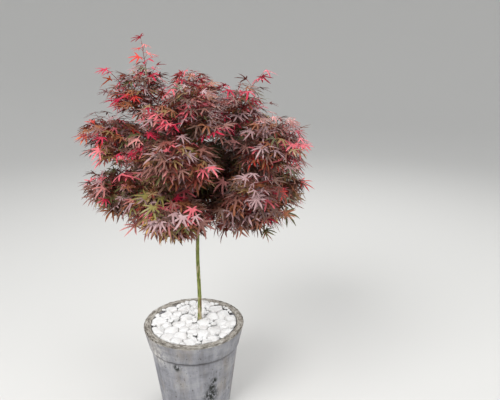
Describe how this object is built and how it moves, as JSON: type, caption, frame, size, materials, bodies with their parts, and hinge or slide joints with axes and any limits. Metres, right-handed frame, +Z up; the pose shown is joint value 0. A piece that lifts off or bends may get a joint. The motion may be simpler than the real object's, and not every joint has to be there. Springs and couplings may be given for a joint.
{
  "type": "potted japanese maple",
  "caption": "Young red-leaved Japanese maple grown as a small standard, with a bare stem and a spreading head, in a round weathered cement pot topped with white stones.",
  "frame": {"origin": "centre of the pot's flat underside", "axes": "+Z up along the pot's axis, -Y towards the side that the picture shows, +X to the right in it"},
  "size_m": [0.7309, 0.7018, 1.2775],
  "materials": {
    "pot": "weathered grey cement, rough, streaked and lime-stained",
    "compost": "dark crumbly potting compost",
    "stones": "broken and tumbled white marble, matt",
    "trunk": "smooth olive-green young bark",
    "boughs": "smooth olive-brown young bark",
    "foliage": "dusky red and purple leaves with a soft sheen"
  },
  "bodies": {
    "root": {"pot": "pot", "compost": "compost", "stones": "stones", "trunk": "trunk", "bough_low_1": "boughs", "foliage_low_1": "foliage", "bough_low_2": "boughs", "foliage_low_2": "foliage", "bough_low_3": "boughs", "foliage_low_3": "foliage", "bough_low_4": "boughs", "foliage_low_4": "foliage", "bough_low_5": "boughs", "foliage_low_5": "foliage", "bough_low_6": "boughs", "foliage_low_6": "foliage", "bough_middle_1": "boughs", "foliage_middle_1": "foliage", "bough_middle_2": "boughs", "foliage_middle_2": "foliage", "bough_middle_3": "boughs", "foliage_middle_3": "foliage", "bough_middle_4": "boughs", "foliage_middle_4": "foliage", "bough_middle_5": "boughs", "foliage_middle_5": "foliage", "bough_inner_1": "boughs", "foliage_inner_1": "foliage", "bough_inner_2": "boughs", "foliage_inner_2": "foliage", "bough_inner_3": "boughs", "foliage_inner_3": "foliage", "bough_top_1": "boughs", "foliage_top_1": "foliage", "bough_top_2": "boughs", "foliage_top_2": "foliage", "bough_top_3": "boughs", "foliage_top_3": "foliage", "bough_top_4": "boughs", "foliage_top_4": "foliage", "bough_crown_1": "boughs", "foliage_crown_1": "foliage"}
  },
  "joints": []
}
